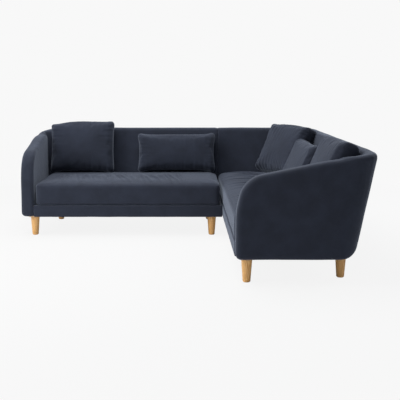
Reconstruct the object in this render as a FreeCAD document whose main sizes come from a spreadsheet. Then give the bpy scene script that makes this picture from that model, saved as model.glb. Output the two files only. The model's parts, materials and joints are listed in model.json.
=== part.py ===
import FreeCAD, Part
import math
import os
import Sketcher
from FreeCAD import Vector

# Corner sofa in two modules. The left module carries the left arm and one bench seat.
# The right module is the corner: a short back behind the corner, a long back on the right
# and an arm at its near end. Millimetres, +Z up, the seats face -Y (left wing) and -X (right).
# The origin is under the middle of the whole sofa, on the floor.
#
# Each module is drawn in its own wing frame: "reach" runs from the seat's front edge to the
# back, "along" runs from the arm's outer face along the wing, and height is measured from
# the floor. Wing.box, Wing.point and Wing.pad turn these into the sofa's own X, Y and Z.

SIZES = (
    ("total_width", 2548, "left arm's outer face to the right back's outer edge"),
    ("total_depth", 2228, "near arm's outer face to the rear back's outer edge"),
    ("wing_depth", 895, "seat front to the outer edge of the back, both wings"),
    ("back_height", 835, "floor to the top of the back"),
    ("leg_height", 160, "floor to the underside of the base"),
    ("deck_height", 257, "floor to the top of the sprung deck"),
    ("seat_thickness", 189, "seat cushion, deck to the crown"),
    ("arm_thickness", 105, "padded arm, outer face to inner face"),
    ("back_thickness", 105, "padded back, outer face to inner face"),
    ("arm_front_height", 400, "height where the arm's front edge starts to curve back"),
    ("arm_front_radius", 600, "large radius of the arm's front edge"),
    ("arm_front_turn", 16.4, "degrees turned by the large radius"),
    ("arm_shoulder_radius", 185, "radius of the arm's shoulder"),
    ("arm_rise", 11.6, "degrees by which the arm's top rises towards the back"),
    ("arm_foot_radius", 36, "lower front corner of the arm"),
    ("edge_radius", 32, "rounded edges of arm and back"),
    ("back_lean", 11.5, "degrees by which the back leans outwards"),
    ("back_foot_radius", 88, "rounded lower edge of the back"),
    ("corner_radius", 118, "plan radius of the upholstered corners at the base"),
    ("module_gap", 2, "gap between the coupled modules"),
    ("border_thickness", 14, "padding in front of the front rail"),
    ("border_radius", 9, "rounded edges of the front border"),
    ("dust_cover_thickness", 1.5, "black cloth under the base"),
    ("strap_thickness", 1.5, "elastic webbing"),
    ("strap_width", 70, "elastic webbing"),
    ("deck_pad_thickness", 8, "felt and foam over the webbing"),
    ("rail_thickness", 25, "beech rails of the base"),
    ("ply_thickness", 18, "plywood arm panel and back sole"),
    ("panel_inset", 36, "padding over the edge of the arm panel"),
    ("panel_window_length", 190, "cut-outs that lighten the arm panel"),
    ("panel_window_height", 150, "cut-outs that lighten the arm panel"),
    ("post_thickness", 30, "back posts and top rail, across the back"),
    ("post_width", 45, "back posts, along the back"),
    ("top_rail_height", 55, "back top rail"),
    ("top_rail_cover", 45, "padding over the back top rail"),
    ("leg_top_diameter", 77, "turned leg at its recessed top"),
    ("leg_foot_diameter", 50, "turned leg at the foot"),
    ("leg_socket", 28, "top of the leg recessed in the padded base"),
    ("leg_foot_round", 4, "softened lower edge of the leg"),
    ("leg_front_inset", 78, "leg centre behind the seat front"),
    ("leg_arm_inset", 101, "front leg centre inside the arm's outer face"),
    ("leg_joint_inset", 84, "leg centre from the module joint"),
    ("leg_rear_reach", 700, "rear leg centre behind the seat front"),
    ("leg_rear_arm_inset", 205, "rear leg centre inside the arm's outer face"),
    ("leg_corner_inset", 205, "rear corner leg inside the outer edges of both backs"),
    ("corner_block_size", 70, "block over the rear corner leg"),
    ("block_size", 86, "leg blocks, across and along"),
    ("block_height", 40, "leg blocks"),
    ("seat_front_bulge", 8, "seat cushion proud of the front border"),
    ("seat_side_gap", 7, "between seat cushion and arm"),
    ("seat_joint_gap", 10, "left cushion's end inside its module's end"),
    ("seat_back_gap", 4, "between seat cushion and back"),
    ("seat_corner_radius", 42, "seat cushion's corners in plan"),
    ("seat_crown", 13, "seat cushion's crown above its rounded edges"),
    ("seat_crown_reach", 180, "from the rounded front edge to the flat top"),
    ("seat_edge_radius", 46, "seat cushion's upper front edge"),
    ("seat_side_radius", 34, "seat cushion's upper edges beside the arm and at the joint"),
    ("seat_rear_radius", 22, "seat cushion's upper edges against a back"),
    ("seat_foot_radius", 14, "seat cushion's lower edges"),
    ("seat_draw_in", 2.5, "seat cushion's sides between the corners"),
    ("contact_gap", 0.3, "loose cushions to what they rest on"),
    ("square_width", 600, "large scatter cushion"),
    ("square_height", 478, "large scatter cushion"),
    ("square_thickness", 165, "large scatter cushion"),
    ("lumbar_width", 724, "lumbar cushion"),
    ("lumbar_height", 362, "lumbar cushion"),
    ("lumbar_thickness", 150, "lumbar cushion"),
    ("cushion_seam", 6, "scatter cushion's thickness at its seam"),
    ("cushion_shoulder", 60, "scatter cushion's fullness beside the seam"),
    ("cushion_corner_radius", 30, "scatter cushion's corners"),
    ("cushion_draw_in", 10, "scatter cushion's sides between the corners"),
    ("square_arm_gap", 12, "large cushion to the arm beside it"),
    ("lumbar_joint_gap", 18, "left lumbar cushion to the module joint"),
    ("right_lumbar_along", 1215, "right lumbar cushion's middle from the near arm"),
    ("corner_cushion_turn", 27, "degrees by which the corner cushion faces the room"),
    ("corner_cushion_along", 1752, "corner cushion's middle from the near arm"),
    ("plate_thickness", 2.5, "connector plates"),
    ("hook_width", 52, "connector hook"),
    ("hook_height", 48, "connector hook"),
    ("hook_neck_width", 20, "connector neck through the socket's slot"),
    ("hook_clearance", 0.6, "play of the hook in its socket"),
)

doc = FreeCAD.newDocument("corner_sofa")
sheet = doc.addObject("Spreadsheet::Sheet", "sizes")
for row, (alias, value, meaning) in enumerate(SIZES, start=1):
    sheet.set("A%d" % row, alias)
    sheet.set("B%d" % row, str(value))
    sheet.set("C%d" % row, meaning)
    sheet.setAlias("B%d" % row, alias)
doc.recompute()


def ex(text):
    """Expression text in which a bare alias stands for its cell."""
    words = []
    word = ""
    for letter in text + " ":
        if letter.isalnum() or letter in "_.":
            word += letter
            continue
        words.append("sizes." + word if word in ALIASES else word)
        words.append(letter)
        word = ""
    return "(" + "".join(words).strip() + ")"


def num(text):
    """The value of an expression text."""
    return float(sheet.evalExpression(ex(text)))


ALIASES = {alias for alias, value, meaning in SIZES}

# Derived places, as expression texts
LEAN_SHIFT = ("((back_height - edge_radius - leg_height) * tan(back_lean)"
              " - edge_radius / cos(back_lean) + edge_radius)")
FOOT = "(wing_depth - %s)" % LEAN_SHIFT
INNER_FOOT = "(%s - back_thickness)" % FOOT
RAIL_TOP = "(deck_height - deck_pad_thickness - strap_thickness)"
RAIL_BOTTOM = "(leg_height + dust_cover_thickness)"
PANEL_OUT = "((arm_thickness - ply_thickness) / 2)"
PANEL_IN = "((arm_thickness + ply_thickness) / 2)"
RAIL_FRONT = "border_thickness"
RAIL_REAR = "(%s - rail_thickness - 10)" % INNER_FOOT
SOLE_FRONT = "(%s + rail_thickness)" % RAIL_REAR
SOLE_REAR = "(%s - 20)" % FOOT
SOLE_TOP = "(leg_height + leg_socket + block_height + ply_thickness)"
BLOCK_LOW = "(leg_height + leg_socket)"
BLOCK_TOP = "(leg_height + leg_socket + block_height)"
LEFT_END = "(total_width - wing_depth - module_gap)"
RIGHT_END = "(total_depth - wing_depth + %s)" % FOOT
SEAT_TOP = "(deck_height + contact_gap + seat_thickness)"
CORNER_REACH = "(%s - corner_radius)" % FOOT

z_base = num("leg_height")
lean = math.radians(num("back_lean"))
lean_slope = math.tan(lean)
edge = num("edge_radius")


class Wing:
    """One module's frame: reach from the seat front, along from the arm's outer face."""

    def __init__(self, name, origin_x, origin_y, reach_is_x):
        self.name = name
        self.origin_x = origin_x
        self.origin_y = origin_y
        self.reach_is_x = reach_is_x

    def point(self, reach, along, height):
        x, y = (reach, along) if self.reach_is_x else (along, reach)
        return Vector(num(self.origin_x) + x, num(self.origin_y) + y, height)

    def place(self, obj, reach, along, height):
        """Bind an object's base point to expression texts in this frame."""
        x, y = (reach, along) if self.reach_is_x else (along, reach)
        obj.setExpression("Placement.Base.x", ex("%s + %s" % (self.origin_x, x)))
        obj.setExpression("Placement.Base.y", ex("%s + %s" % (self.origin_y, y)))
        obj.setExpression("Placement.Base.z", ex(height))

    def box(self, label, reach, along, height):
        """A box from three (low, high) pairs of expression texts."""
        obj = doc.addObject("Part::Box", label)
        obj.Label = label
        across = "%s - (%s)" % (reach[1], reach[0])
        length = "%s - (%s)" % (along[1], along[0])
        first, second = (across, length) if self.reach_is_x else (length, across)
        obj.setExpression("Length", ex(first))
        obj.setExpression("Width", ex(second))
        obj.setExpression("Height", ex("%s - (%s)" % (height[1], height[0])))
        self.place(obj, reach[0], along[0], height[0])
        return obj

    def sketch_body(self, label, along, draw):
        """A PartDesign body whose sketch lies across the wing (reach, height)."""
        body = doc.addObject("PartDesign::Body", label)
        body.Label = label
        role = "XZ_Plane" if self.reach_is_x else "YZ_Plane"
        plane = [f for f in body.Origin.OriginFeatures if f.Role == role][0]
        sketch = body.newObject("Sketcher::SketchObject", label + "_profile")
        sketch.AttachmentSupport = [(plane, "")]
        sketch.MapMode = "FlatFace"
        draw(sketch)
        self.place(body, "0", along, "0")
        return body, sketch

    def pad(self, body, sketch, length):
        """Pad the sketch along the wing, away from the arm."""
        pad = body.newObject("PartDesign::Pad", body.Label + "_pad")
        pad.Profile = sketch
        pad.setExpression("Length", ex(length))
        pad.Reversed = self.reach_is_x
        doc.recompute()
        return pad


LEFT = Wing("left", "(-total_width / 2)", "(total_depth / 2 - wing_depth)", False)
RIGHT = Wing("right", "(total_width / 2 - wing_depth)", "(-total_depth / 2)", True)

nodes = []


def node(obj, label=None):
    """Register an object as a sub-part; its label names its file."""
    if label:
        obj.Label = label
    nodes.append(obj)
    return obj


def shaped(label, shape):
    """A sub-part whose shape comes straight from the geometry functions."""
    obj = doc.addObject("Part::Feature", label)
    obj.Label = label
    obj.Shape = shape
    return node(obj)


def compound(label, members):
    """Identical pieces in one sub-part, as separate solids."""
    obj = doc.addObject("Part::Compound", label)
    obj.Label = label
    obj.Links = members
    return node(obj)


def cylinder(name, diameter, height):
    obj = doc.addObject("Part::Cylinder", name)
    obj.setExpression("Radius", ex("%s / 2" % diameter))
    obj.setExpression("Height", ex(height))
    return obj


def cut(label, base, tools):
    """The base with the tools' bodies taken out."""
    group = tools[0]
    if len(tools) > 1:
        group = doc.addObject("Part::MultiFuse", label + "_tools")
        group.Shapes = tools
    obj = doc.addObject("Part::Cut", label)
    obj.Base = base
    obj.Tool = group
    obj.Label = label
    return obj


# Sketched profiles

def arm_profile(inset, rear):
    """The arm's side view, its edges moved inwards by the inset; rear is where it ends."""

    def draw(sketch):
        i = num(inset)
        foot_r = max(num("arm_foot_radius") - i, 6)
        big = num("arm_front_radius")
        small = num("arm_shoulder_radius")
        start = num("arm_front_height")
        turn = math.radians(num("arm_front_turn"))
        rise = math.radians(num("arm_rise"))
        low = z_base + i
        end = num(rear)
        knee = Vector(big - big * math.cos(turn), start + big * math.sin(turn), 0)
        centre = Vector(knee.x + small * math.cos(turn), knee.y - small * math.sin(turn), 0)
        top = centre + Vector(-math.sin(rise), math.cos(rise), 0) * (small - i)
        crest_end = Vector(end, top.y + (end - top.x) * math.tan(rise), 0)
        up = Vector(0, 0, 1)
        arc_big = Part.Circle(Vector(big, start, 0), up, big - i)
        arc_small = Part.Circle(centre, up, small - i)
        arc_foot = Part.Circle(Vector(i + foot_r, low + foot_r, 0), up, foot_r)
        pi = math.pi
        parts = [
            Part.LineSegment(Vector(i, low + foot_r, 0), Vector(i, start, 0)),
            Part.ArcOfCircle(arc_big, pi - turn, pi),
            Part.ArcOfCircle(arc_small, pi / 2 + rise, pi - turn),
            Part.LineSegment(top, crest_end),
            Part.LineSegment(crest_end, Vector(end, low, 0)),
            Part.LineSegment(Vector(end, low, 0), Vector(i + foot_r, low, 0)),
            Part.ArcOfCircle(arc_foot, pi, 1.5 * pi),
        ]
        for geometry in parts:
            sketch.addGeometry(geometry, False)
        front, bow, shoulder, crest, back, sole, foot = range(7)
        joints = (
            ("Tangent", front, 2, bow, 2),
            ("Tangent", bow, 1, shoulder, 2),
            ("Tangent", shoulder, 1, crest, 1),
            ("Coincident", crest, 2, back, 1),
            ("Coincident", back, 2, sole, 1),
            ("Tangent", sole, 2, foot, 2),
            ("Tangent", foot, 1, front, 1),
        )
        for joint in joints:
            sketch.addConstraint(Sketcher.Constraint(*joint))
        sketch.addConstraint(Sketcher.Constraint("Vertical", front))
        sketch.addConstraint(Sketcher.Constraint("Vertical", back))
        sketch.addConstraint(Sketcher.Constraint("Horizontal", sole))
        bound = (
            (("Radius", bow, big - i), "arm_front_radius - %s" % inset),
            (("Radius", shoulder, small - i), "arm_shoulder_radius - %s" % inset),
            (("Radius", foot, foot_r), "max(arm_foot_radius - %s; 6)" % inset),
            (("DistanceX", -1, 1, sole, 1, end), rear),
            (("DistanceY", -1, 1, sole, 1, low), "leg_height + %s" % inset),
            (("DistanceY", -1, 1, front, 2, start), "arm_front_height"),
            (("DistanceX", -1, 1, bow, 3, big), "arm_front_radius"),
            (("DistanceY", bow, 3, bow, 1, (big - i) * math.sin(turn)),
             "(arm_front_radius - %s) * sin(arm_front_turn)" % inset),
        )
        for constraint, expression in bound:
            index = sketch.addConstraint(Sketcher.Constraint(*constraint))
            sketch.setExpression("Constraints[%d]" % index, ex(expression))
        index = sketch.addConstraint(Sketcher.Constraint("Angle", crest, rise))
        sketch.setExpression("Constraints[%d]" % index, ex("arm_rise * 1 deg"))

    return draw


def leaning_profile(low, high, front, thickness):
    """A board that leans with the back: its front edge at the low end is at the front."""

    def draw(sketch):
        z0 = num(low)
        z1 = num(high)
        x0 = num(front)
        w = num(thickness)
        shift = (z1 - z0) * lean_slope
        corners = [Vector(x0, z0, 0), Vector(x0 + w, z0, 0),
                   Vector(x0 + w + shift, z1, 0), Vector(x0 + shift, z1, 0)]
        for k in range(4):
            sketch.addGeometry(Part.LineSegment(corners[k], corners[(k + 1) % 4]), False)
        for k in range(4):
            sketch.addConstraint(Sketcher.Constraint("Coincident", k, 2, (k + 1) % 4, 1))
        sketch.addConstraint(Sketcher.Constraint("Horizontal", 0))
        sketch.addConstraint(Sketcher.Constraint("Horizontal", 2))
        sketch.addConstraint(Sketcher.Constraint("Parallel", 1, 3))
        bound = (
            (("DistanceX", -1, 1, 0, 1, x0), front),
            (("DistanceY", -1, 1, 0, 1, z0), low),
            (("DistanceX", 0, 1, 0, 2, w), thickness),
            (("DistanceY", 0, 2, 1, 2, z1 - z0), "%s - %s" % (high, low)),
            (("DistanceX", 1, 1, 1, 2, shift), "(%s - %s) * tan(back_lean)" % (high, low)),
        )
        for constraint, expression in bound:
            index = sketch.addConstraint(Sketcher.Constraint(*constraint))
            sketch.setExpression("Constraints[%d]" % index, ex(expression))

    return draw


def border_profile(sketch):
    """The front border: padding on the rail's face, folded back over its top edge."""
    low = "leg_height"
    lip = "(deck_height - deck_pad_thickness)"
    depth = "(border_thickness + rail_thickness)"
    z0, z1, z2 = num(low), num(lip), num("deck_height")
    t, d = num("border_thickness"), num(depth)
    corners = [Vector(0, z0, 0), Vector(t, z0, 0), Vector(t, z1, 0),
               Vector(d, z1, 0), Vector(d, z2, 0), Vector(0, z2, 0)]
    for k in range(6):
        sketch.addGeometry(Part.LineSegment(corners[k], corners[(k + 1) % 6]), False)
    for k in range(6):
        sketch.addConstraint(Sketcher.Constraint("Coincident", k, 2, (k + 1) % 6, 1))
    for k in (0, 2, 4):
        sketch.addConstraint(Sketcher.Constraint("Horizontal", k))
    for k in (1, 3):
        sketch.addConstraint(Sketcher.Constraint("Vertical", k))
    sketch.addConstraint(Sketcher.Constraint("PointOnObject", 0, 1, -2))
    sketch.addConstraint(Sketcher.Constraint("PointOnObject", 5, 1, -2))
    bound = (
        (("DistanceY", -1, 1, 0, 1, z0), low),
        (("DistanceX", 0, 1, 0, 2, t), "border_thickness"),
        (("DistanceY", -1, 1, 2, 1, z1), lip),
        (("DistanceX", 2, 1, 2, 2, d - t), "rail_thickness"),
        (("DistanceY", -1, 1, 4, 1, z2), "deck_height"),
    )
    for constraint, expression in bound:
        index = sketch.addConstraint(Sketcher.Constraint(*constraint))
        sketch.setExpression("Constraints[%d]" % index, ex(expression))


def leg_profile(sketch):
    """Half section of the turned leg: a taper with a softened foot."""
    foot = "(leg_foot_diameter / 2)"
    top = "(leg_top_diameter / 2)"
    soft = "leg_foot_round"
    high = "(leg_height + leg_socket)"
    r0, r1, c = num(foot), num(top), num(soft)
    corners = [Vector(0, 0, 0), Vector(r0 - c, 0, 0), Vector(r0, c, 0),
               Vector(r1, num(high), 0), Vector(0, num(high), 0)]
    count = len(corners)
    for k in range(count):
        sketch.addGeometry(Part.LineSegment(corners[k], corners[(k + 1) % count]), False)
    for k in range(count):
        sketch.addConstraint(Sketcher.Constraint("Coincident", k, 2, (k + 1) % count, 1))
    sketch.addConstraint(Sketcher.Constraint("Coincident", 0, 1, -1, 1))
    sketch.addConstraint(Sketcher.Constraint("Horizontal", 0))
    sketch.addConstraint(Sketcher.Constraint("Horizontal", 3))
    sketch.addConstraint(Sketcher.Constraint("Vertical", 4))
    bound = (
        (("DistanceX", 0, 1, 0, 2, r0 - c), "%s - %s" % (foot, soft)),
        (("DistanceX", 1, 1, 1, 2, c), soft),
        (("DistanceY", 1, 1, 1, 2, c), soft),
        (("DistanceX", -1, 1, 3, 1, r1), top),
        (("DistanceY", -1, 1, 3, 1, num(high)), high),
    )
    for constraint, expression in bound:
        index = sketch.addConstraint(Sketcher.Constraint(*constraint))
        sketch.setExpression("Constraints[%d]" % index, ex(expression))


# Upholstered arms, corners and backs

def wall_section(place, radius, wall_lean, thickness, crest, foot_round):
    """Closed outline of the padded wall: bottom, rounded foot, leaning faces, rounded crest.

    place(across, height) puts a point of the outline in space; radius is the outer face's
    distance from the turning axis at the base.
    """
    slope = math.tan(wall_lean)
    cosine = math.cos(wall_lean)

    def arc(centre_a, centre_h, r, start, end):
        points = []
        for angle in (start, (start + end) / 2, end):
            points.append(place(centre_a + r * math.cos(angle), centre_h + r * math.sin(angle)))
        return Part.Arc(*points).toShape(), points[0], points[2]

    top_h = crest - edge
    outer_c = radius + (top_h - z_base) * slope - edge / cosine
    inner_c = radius - thickness + (top_h - z_base) * slope + edge / cosine
    foot_c = radius + foot_round * slope - foot_round / cosine
    right = math.pi / 2
    foot, foot_a, foot_b = arc(foot_c, z_base + foot_round, foot_round, -right, -wall_lean)
    outer, outer_a, outer_b = arc(outer_c, top_h, edge, -wall_lean, right)
    inner, inner_a, inner_b = arc(inner_c, top_h, edge, right, math.pi - wall_lean)
    corner = place(radius - thickness, z_base)

    def line(a, b):
        return Part.LineSegment(a, b).toShape()

    return Part.Wire([line(corner, foot_a), foot, line(foot_b, outer_a), outer,
                      line(outer_b, inner_a), inner, line(inner_b, corner)])


def solid_of(shape):
    """One closed solid with its faces pointing outwards."""
    solid = shape.Solids[0] if shape.Solids else Part.Solid(shape.Shells[0])
    return solid if solid.Volume > 0 else solid.reversed()


def back_wall(wing, start, end):
    """A straight stretch of the back, between two places along the wing."""
    reach = num(CORNER_REACH)

    def place(across, height):
        return wing.point(reach + across, start, height)

    wire = wall_section(place, num("corner_radius"), lean, num("back_thickness"),
                        num("back_height"), num("back_foot_radius"))
    travel = wing.point(0, end, 0) - wing.point(0, start, 0)
    return solid_of(Part.Face(wire).extrude(travel))


def arm_crest_end():
    """Height of the arm's top where the corner starts."""
    turn = math.radians(num("arm_front_turn"))
    rise = math.radians(num("arm_rise"))
    big, small = num("arm_front_radius"), num("arm_shoulder_radius")
    x = big - big * math.cos(turn) + small * math.cos(turn) - small * math.sin(rise)
    z = (num("arm_front_height") + big * math.sin(turn) - small * math.sin(turn)
         + small * math.cos(rise))
    return z + (num(CORNER_REACH) - x) * math.tan(rise)


CORNER_STEPS = 8


def arm_corner(wing):
    """The corner between arm and back: upright at the arm, leaning and higher at the back."""
    reach = num(CORNER_REACH)
    radius = num("corner_radius")
    low_crest = arm_crest_end()
    wires = []
    for step in range(CORNER_STEPS + 1):
        turn = math.pi / 2 * step / CORNER_STEPS
        blend = math.sin(turn) ** 3

        def mix(a, b):
            return a + (b - a) * blend

        def place(across, height):
            return wing.point(reach + across * math.sin(turn),
                              radius - across * math.cos(turn), height)

        crest = low_crest + (num("back_height") - low_crest) * math.sin(turn)
        wires.append(wall_section(place, radius, mix(0, lean),
                                  mix(num("arm_thickness"), num("back_thickness")), crest,
                                  mix(num("edge_radius"), num("back_foot_radius"))))
    return solid_of(Part.makeLoft(wires, True, True))


def rear_corner(wing):
    """The corner where the long back turns into the short one: sections about one axis."""
    reach = num(CORNER_REACH)
    along = num("%s - corner_radius" % RIGHT_END)
    wires = []
    for step in range(CORNER_STEPS + 1):
        turn = math.pi / 2 * step / CORNER_STEPS

        def place(across, height):
            return wing.point(reach + across * math.cos(turn),
                              along + across * math.sin(turn), height)

        wires.append(wall_section(place, num("corner_radius"), lean, num("back_thickness"),
                                  num("back_height"), num("back_foot_radius")))
    return solid_of(Part.makeLoft(wires, True, True))


def short_back(wing):
    """The right module's back behind the corner, up to the module joint."""
    along = num("%s - corner_radius" % RIGHT_END)

    def place(across, height):
        return wing.point(0, along + across, height)

    wire = wall_section(place, num("corner_radius"), lean, num("back_thickness"),
                        num("back_height"), num("back_foot_radius"))
    travel = wing.point(num(CORNER_REACH), 0, 0) - wing.point(0, 0, 0)
    return solid_of(Part.Face(wire).extrude(travel))


def arm_form(wing):
    """The padded arm: its side view padded to the arm's thickness, all edges rounded."""
    label = wing.name + "_arm_form"
    body, sketch = wing.sketch_body(label, "0", arm_profile("0", CORNER_REACH))
    pad = wing.pad(body, sketch, "arm_thickness")
    end = num(CORNER_REACH)
    low = z_base
    names = []
    for index, shape_edge in enumerate(pad.Shape.Edges, start=1):
        box = shape_edge.BoundBox
        if wing.reach_is_x:
            reach, depth = (box.XMin, box.XMax), (abs(box.YMin), abs(box.YMax))
        else:
            reach, depth = (box.YMin, box.YMax), (abs(box.XMin), abs(box.XMax))
        if abs(depth[1] - depth[0]) > 1e-4 or reach[0] > end - 1e-4:
            continue
        outer = max(depth) < 1e-4
        foot = box.ZMin < low + num("arm_foot_radius") - 1e-3 and box.ZMax < low + num(
            "arm_foot_radius") + 1e-3
        if outer or not foot:
            names.append("Edge%d" % index)
    fillet = body.newObject("PartDesign::Fillet", label + "_edges")
    fillet.Base = (pad, names)
    fillet.setExpression("Radius", ex("edge_radius"))
    body.Tip = fillet
    doc.recompute()
    return body


def without(shape, frame):
    """The padding with the room taken out that the frame pieces inside it need."""
    tools = []
    for piece in frame:
        if piece.Shape.BoundBox.intersect(shape.BoundBox):
            tools.extend(piece.Shape.Solids)
    result = shape.cut(tools) if tools else shape
    solids = sorted(result.Solids, key=lambda s: s.Volume)
    return solids[-1]


# Base frame, deck and legs

def leg_places(wing):
    """Each leg's name with its reach and place along the wing."""
    front, rear = "leg_front_inset", "leg_rear_reach"
    if wing is LEFT:
        joint = "(%s - leg_joint_inset)" % LEFT_END
        return (
            ("left_front_arm_leg", front, "leg_arm_inset"),
            ("left_rear_arm_leg", rear, "leg_rear_arm_inset"),
            ("left_front_joint_leg", front, joint),
            ("left_rear_joint_leg", rear, joint),
        )
    middle = "(total_depth / 2)"
    far = "(total_depth - wing_depth + leg_rear_reach)"
    return (
        ("right_front_arm_leg", front, "leg_arm_inset"),
        ("right_rear_arm_leg", rear, "leg_rear_arm_inset"),
        ("right_front_middle_leg", front, middle),
        ("right_rear_middle_leg", rear, middle),
        ("right_front_corner_leg", front, far),
        ("right_rear_corner_leg", "(wing_depth - leg_corner_inset)",
         "(total_depth - leg_corner_inset)"),
    )


def turned_leg(wing, label, reach, along):
    body = doc.addObject("PartDesign::Body", label)
    body.Label = label
    plane = [f for f in body.Origin.OriginFeatures if f.Role == "XZ_Plane"][0]
    axis = [f for f in body.Origin.OriginFeatures if f.Role == "Z_Axis"][0]
    sketch = body.newObject("Sketcher::SketchObject", label + "_profile")
    sketch.AttachmentSupport = [(plane, "")]
    sketch.MapMode = "FlatFace"
    leg_profile(sketch)
    turn = body.newObject("PartDesign::Revolution", label + "_turning")
    turn.Profile = sketch
    turn.ReferenceAxis = (axis, [""])
    turn.Angle = 360
    wing.place(body, reach, along, "0")
    return body


def block_place(label, reach, along):
    """Where a leg's block lies: against the nearest rails, over the leg."""
    if "corner" in label and reach != "leg_front_inset":
        inner = "(total_depth - wing_depth + %s)" % SOLE_FRONT
        return ((SOLE_FRONT, "(%s + corner_block_size)" % SOLE_FRONT),
                (inner, "(%s + corner_block_size)" % inner))
    start = "(%s + rail_thickness)" % RAIL_FRONT if reach == "leg_front_inset" else SOLE_FRONT
    block_reach = (start, "(%s + block_size)" % start)
    if along == "leg_arm_inset":
        return block_reach, (PANEL_IN, "(%s + block_size)" % PANEL_IN)
    return block_reach, ("(%s - block_size / 2)" % along, "(%s + block_size / 2)" % along)


def legs_and_blocks(wing):
    """The legs, and the blocks in the base that they are screwed to."""
    legs, blocks = [], []
    for label, reach, along in leg_places(wing):
        legs.append(turned_leg(wing, label, reach, along))
        block_reach, block_along = block_place(label, reach, along)
        blocks.append(wing.box(label + "_block", block_reach, block_along,
                               (BLOCK_LOW, BLOCK_TOP)))
    return [compound(wing.name + "_legs", legs)], compound(wing.name + "_leg_blocks", blocks)


def frame_parts(wing):
    """Rails, arm panel, back sole, posts and top rail of one module."""
    name = wing.name
    end = "(%s - 8)" % LEFT_END if wing is LEFT else "(%s - 20)" % RIGHT_END
    inner_end = "(%s - rail_thickness)" % end
    if wing is RIGHT:
        inner_end = "(total_depth - wing_depth + %s)" % RAIL_REAR
    rails = []
    rails.append(node(wing.box(name + "_front_rail",
                               (RAIL_FRONT, "(%s + rail_thickness)" % RAIL_FRONT),
                               (PANEL_IN, inner_end if wing is LEFT else
                                "(%s + rail_thickness)" % inner_end),
                               (RAIL_BOTTOM, RAIL_TOP))))
    rails.append(node(wing.box(name + "_rear_rail", (RAIL_REAR, SOLE_FRONT),
                               (PANEL_IN, inner_end), (RAIL_BOTTOM, RAIL_TOP))))
    if wing is LEFT:
        end_reach = (RAIL_FRONT, SOLE_FRONT)
        end_along = (inner_end, end)
    else:
        end_reach = ("(%s + rail_thickness)" % RAIL_FRONT, SOLE_FRONT)
        end_along = (inner_end, "(%s + rail_thickness)" % inner_end)
    rails.append(node(wing.box(name + "_end_rail", end_reach, end_along,
                               (RAIL_BOTTOM, RAIL_TOP))))
    cross = []
    count = 3 if wing is LEFT else 4
    for k in range(1, count + 1):
        middle = "(%s + (%s - %s) * %d / %d)" % (PANEL_IN, inner_end, PANEL_IN, k, count + 1)
        cross.append(wing.box("%s_cross_rail_%d" % (name, k),
                              ("(%s + rail_thickness)" % RAIL_FRONT, RAIL_REAR),
                              ("(%s - rail_thickness / 2)" % middle,
                               "(%s + rail_thickness / 2)" % middle),
                              ("(%s + 20)" % RAIL_BOTTOM, "(%s - 22)" % RAIL_TOP)))
    rails.append(compound(name + "_cross_rails", cross))
    return rails, end, inner_end


def arm_panel(wing):
    """The plywood panel inside the arm, lightened by two windows."""
    label = wing.name + "_arm_panel"
    body, sketch = wing.sketch_body(label, PANEL_OUT, arm_profile("panel_inset", SOLE_FRONT))
    pad = wing.pad(body, sketch, "ply_thickness")
    windows = body.newObject("Sketcher::SketchObject", label + "_windows")
    role = "XZ_Plane" if wing.reach_is_x else "YZ_Plane"
    plane = [f for f in body.Origin.OriginFeatures if f.Role == role][0]
    windows.AttachmentSupport = [(plane, "")]
    windows.MapMode = "FlatFace"
    low = "(deck_height + 50)"
    for k in range(2):
        left = "(panel_inset + 75 + %d * (panel_window_length + 60))" % k
        x0, z0 = num(left), num(low)
        w, h = num("panel_window_length"), num("panel_window_height")
        corners = [Vector(x0, z0, 0), Vector(x0 + w, z0, 0), Vector(x0 + w, z0 + h, 0),
                   Vector(x0, z0 + h, 0)]
        first = 4 * k
        for c in range(4):
            windows.addGeometry(Part.LineSegment(corners[c], corners[(c + 1) % 4]), False)
        for c in range(4):
            windows.addConstraint(Sketcher.Constraint("Coincident", first + c, 2,
                                                      first + (c + 1) % 4, 1))
        for c in (0, 2):
            windows.addConstraint(Sketcher.Constraint("Horizontal", first + c))
        for c in (1, 3):
            windows.addConstraint(Sketcher.Constraint("Vertical", first + c))
        bound = (
            (("DistanceX", -1, 1, first, 1, x0), left),
            (("DistanceY", -1, 1, first, 1, z0), low),
            (("DistanceX", first, 1, first, 2, w), "panel_window_length"),
            (("DistanceY", first + 1, 1, first + 1, 2, h), "panel_window_height"),
        )
        for constraint, expression in bound:
            index = windows.addConstraint(Sketcher.Constraint(*constraint))
            windows.setExpression("Constraints[%d]" % index, ex(expression))
    pocket = body.newObject("PartDesign::Pocket", label + "_window_cut")
    pocket.Profile = windows
    pocket.setExpression("Length", ex("ply_thickness"))
    pocket.Reversed = not wing.reach_is_x
    body.Tip = pocket
    doc.recompute()
    if pocket.Shape.Volume > pad.Shape.Volume - 1:
        raise RuntimeError(label + ": the windows cut nothing")
    return node(body)


def webbing(wing, end, inner_end):
    """Elastic straps: one layer along the wing, one from front rail to rear rail on top."""
    straps = []
    low = RAIL_TOP
    mid = "(%s + strap_thickness)" % RAIL_TOP
    top = "(deck_height - deck_pad_thickness)"
    first, last = "(%s + 20)" % "arm_thickness", inner_end
    count = 9 if wing is LEFT else 11
    for k in range(count):
        centre = "(%s + 45 + (%s - %s - 90) * %d / %d)" % (first, last, first, k, count - 1)
        straps.append(wing.box("%s_strap_%d" % (wing.name, k + 1), (RAIL_FRONT, SOLE_FRONT),
                               ("(%s - strap_width / 2)" % centre,
                                "(%s + strap_width / 2)" % centre), (low, top)))
    return compound(wing.name + "_webbing", straps)


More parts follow.
